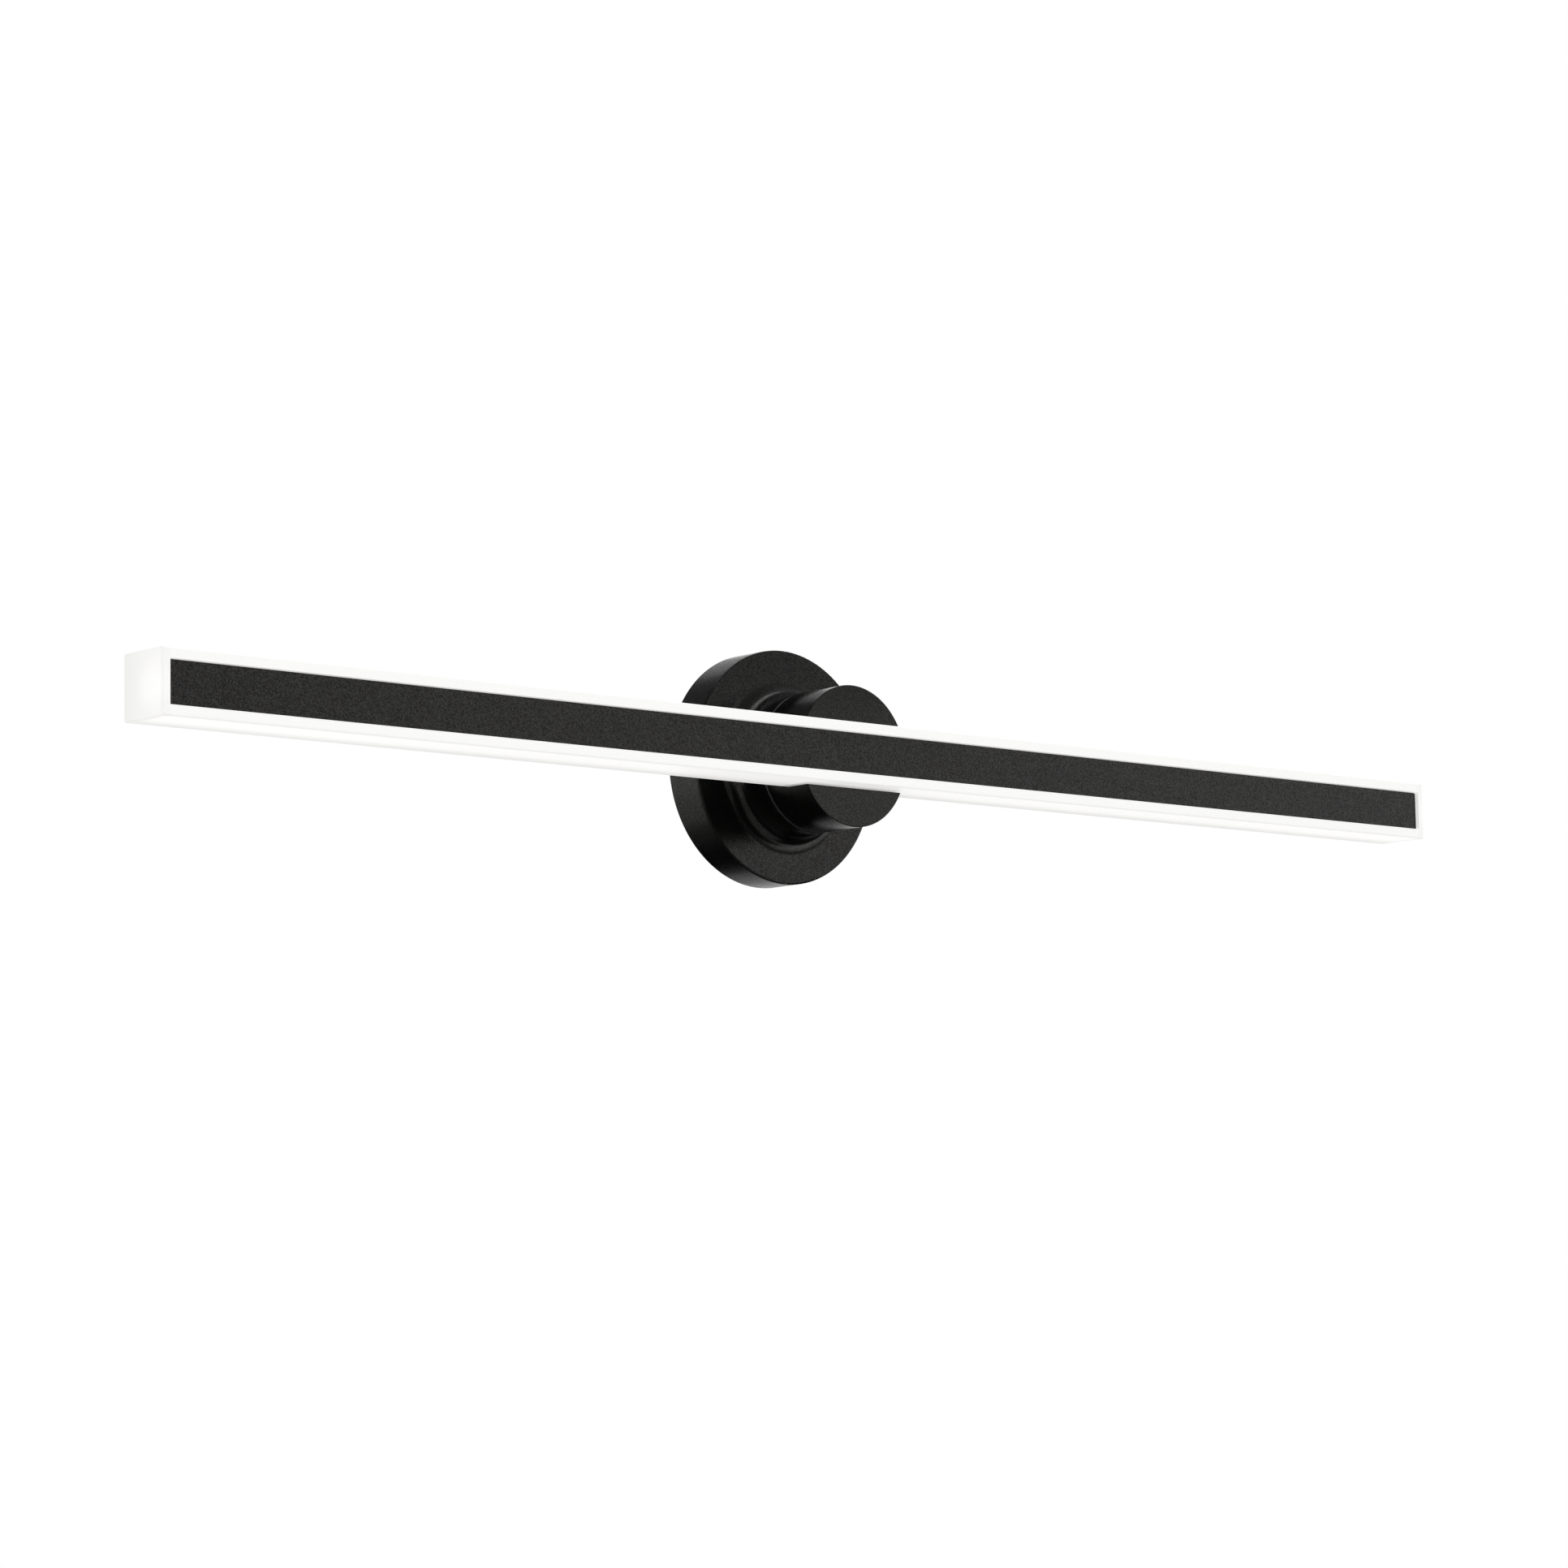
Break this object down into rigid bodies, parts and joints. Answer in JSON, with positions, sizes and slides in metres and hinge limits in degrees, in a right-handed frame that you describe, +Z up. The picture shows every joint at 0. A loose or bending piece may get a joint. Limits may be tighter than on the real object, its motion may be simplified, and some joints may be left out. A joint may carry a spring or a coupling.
{
  "type": "vanity light bar",
  "caption": "Wall vanity light: long square acrylic bar with a black front strip, held in the slot of a round black head that turns on a wall canopy.",
  "frame": {"origin": "centre of the canopy's back, on the wall, at the back face of the mounting bracket", "axes": "+X along the bar to the right as seen from the room, +Y into the wall, +Z up; the bar faces -Y"},
  "size_m": [0.9144, 0.09, 0.13],
  "materials": {
    "black_coat": "satin",
    "acrylic": "matte",
    "zinc_steel": "satin",
    "bare_aluminium": "satin",
    "foam": "matte",
    "white_plastic": "matte",
    "black_plastic": "matte",
    "board_green": "satin",
    "board_white": "satin",
    "led_yellow": "satin",
    "ferrite": "matte",
    "can_aluminium": "satin",
    "wire_black": "satin",
    "wire_white": "satin",
    "wire_green": "satin",
    "green_steel": "satin",
    "plain_brass": "satin",
    "foam_tape": "matte"
  },
  "bodies": {
    "wall_mount": {"mounting_bracket": "zinc_steel", "canopy": "black_coat", "wall_gasket": "foam", "canopy_screws": "black_coat", "earth_screw": "green_steel", "earth_ring": "plain_brass", "earth_lead": "wire_green", "driver_case": "white_plastic", "driver_lid": "white_plastic", "driver_board": "board_green", "driver_transformer": "ferrite", "driver_capacitors": "can_aluminium", "driver_screws": "zinc_steel", "terminal_block": "white_plastic", "live_lead": "wire_black", "neutral_lead": "wire_white", "driver_lead": "wire_white", "driver_socket": "black_plastic", "slip_washer": "zinc_steel"},
    "light_head": {"bar_hub": "black_coat", "swivel_bolt": "zinc_steel", "thrust_washer": "zinc_steel", "spring_washer": "zinc_steel", "swivel_nut": "zinc_steel", "stop_pin": "zinc_steel", "diffuser": "acrylic", "end_cap_left": "acrylic", "end_cap_right": "acrylic", "led_rail": "bare_aluminium", "bar_screws": "zinc_steel", "plate_tape": "foam_tape", "front_plate": "black_coat", "led_board_top": "board_white", "led_board_bottom": "board_white", "led_chips": "led_yellow", "board_jumpers": "wire_white", "bar_lead": "wire_white", "lead_plug": "black_plastic"}
  },
  "joints": [
    {"name": "bar_turn", "type": "hinge", "parent": "wall_mount", "child": "light_head", "pos_m": [0, -0.046, 0], "axis": [0, 1, 0], "range_deg": [-90, 90]}
  ]
}
